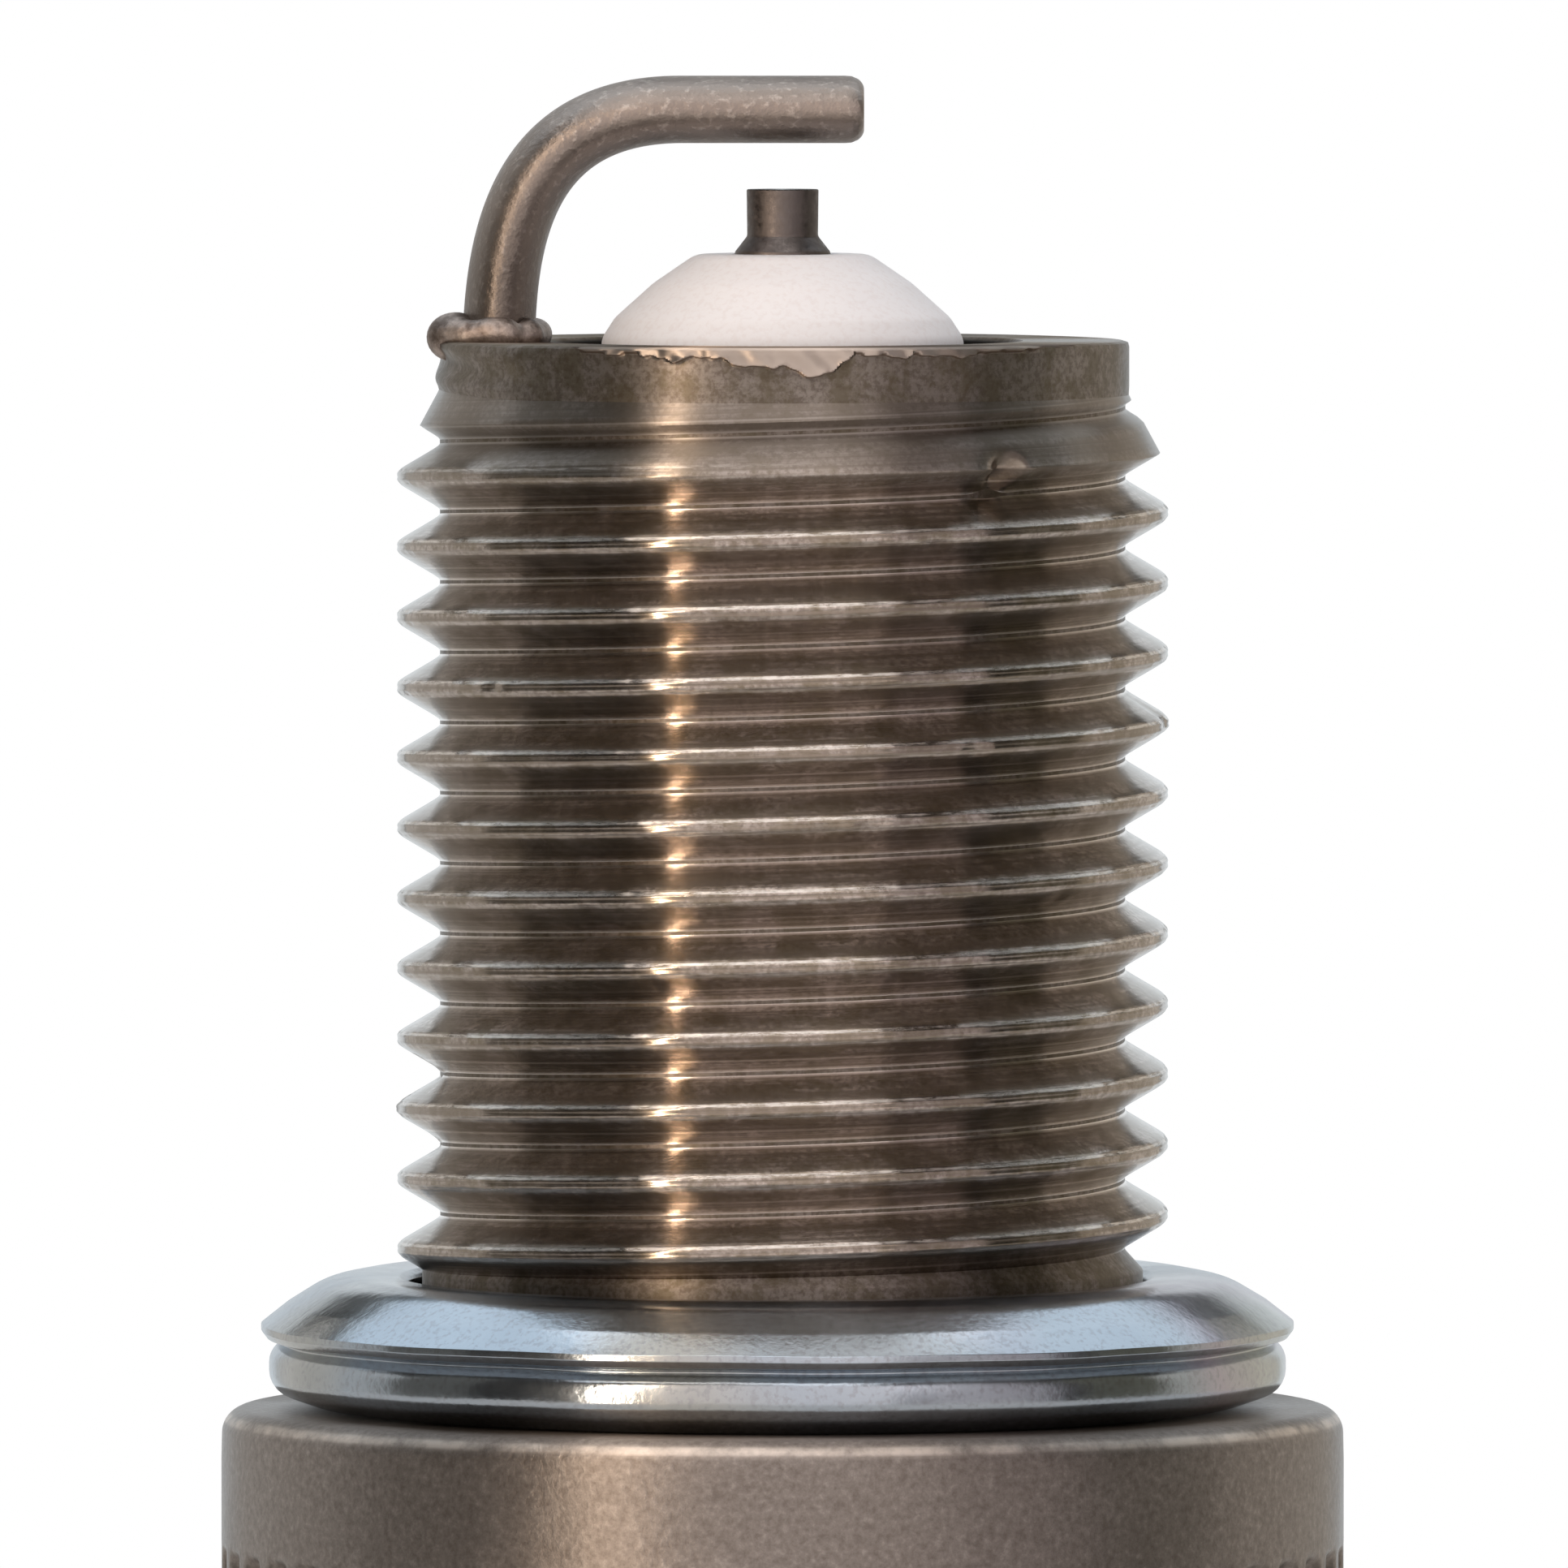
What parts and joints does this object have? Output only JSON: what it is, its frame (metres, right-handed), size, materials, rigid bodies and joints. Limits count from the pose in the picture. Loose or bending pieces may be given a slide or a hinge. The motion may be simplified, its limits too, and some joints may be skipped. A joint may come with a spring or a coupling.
{
  "type": "spark plug",
  "caption": "Long-reach spark plug with a threaded steel shell, loose folded gasket, hexagon, ribbed insulator, bent ground electrode and a removable terminal nut.",
  "frame": {"origin": "centre of the shell's annular gasket seat, on the thread's axis", "axes": "+Z along the axis towards the firing end, -X towards the leg of the ground electrode, +Y completes the right-handed frame"},
  "size_m": [0.024, 0.0208, 0.0769],
  "materials": {
    "plated_steel": "satin",
    "zinc_steel": "polished",
    "electrode_alloy": "satin",
    "weld_metal": "satin",
    "alumina": "matte",
    "copper": "satin",
    "seal_glass": "matte",
    "resistor_glass": "matte",
    "stud_steel": "satin",
    "ring_steel": "satin",
    "talc": "matte",
    "nut_metal": "polished"
  },
  "bodies": {
    "plug": {"shell": "plated_steel", "ground_electrode": "electrode_alloy", "ground_weld": "weld_metal", "insulator": "alumina", "centre_electrode": "electrode_alloy", "centre_electrode_core": "copper", "seat_washer": "ring_steel", "front_seal_glass": "seal_glass", "resistor": "resistor_glass", "rear_seal_glass": "seal_glass", "terminal_stud": "stud_steel", "front_wire_ring": "ring_steel", "talc_packing": "talc", "rear_wire_ring": "ring_steel"},
    "gasket_ring": {"gasket": "zinc_steel"},
    "nut": {"terminal_nut": "nut_metal"}
  },
  "joints": [
    {"name": "gasket_spin", "type": "hinge", "parent": "plug", "child": "gasket_ring", "pos_m": [0, 0, 0], "axis": [0, 0, 1], "continuous": true},
    {"name": "terminal_nut_off", "type": "slide", "parent": "plug", "child": "nut", "axis": [0, 0, -1], "range_m": [0, 0.01]}
  ]
}
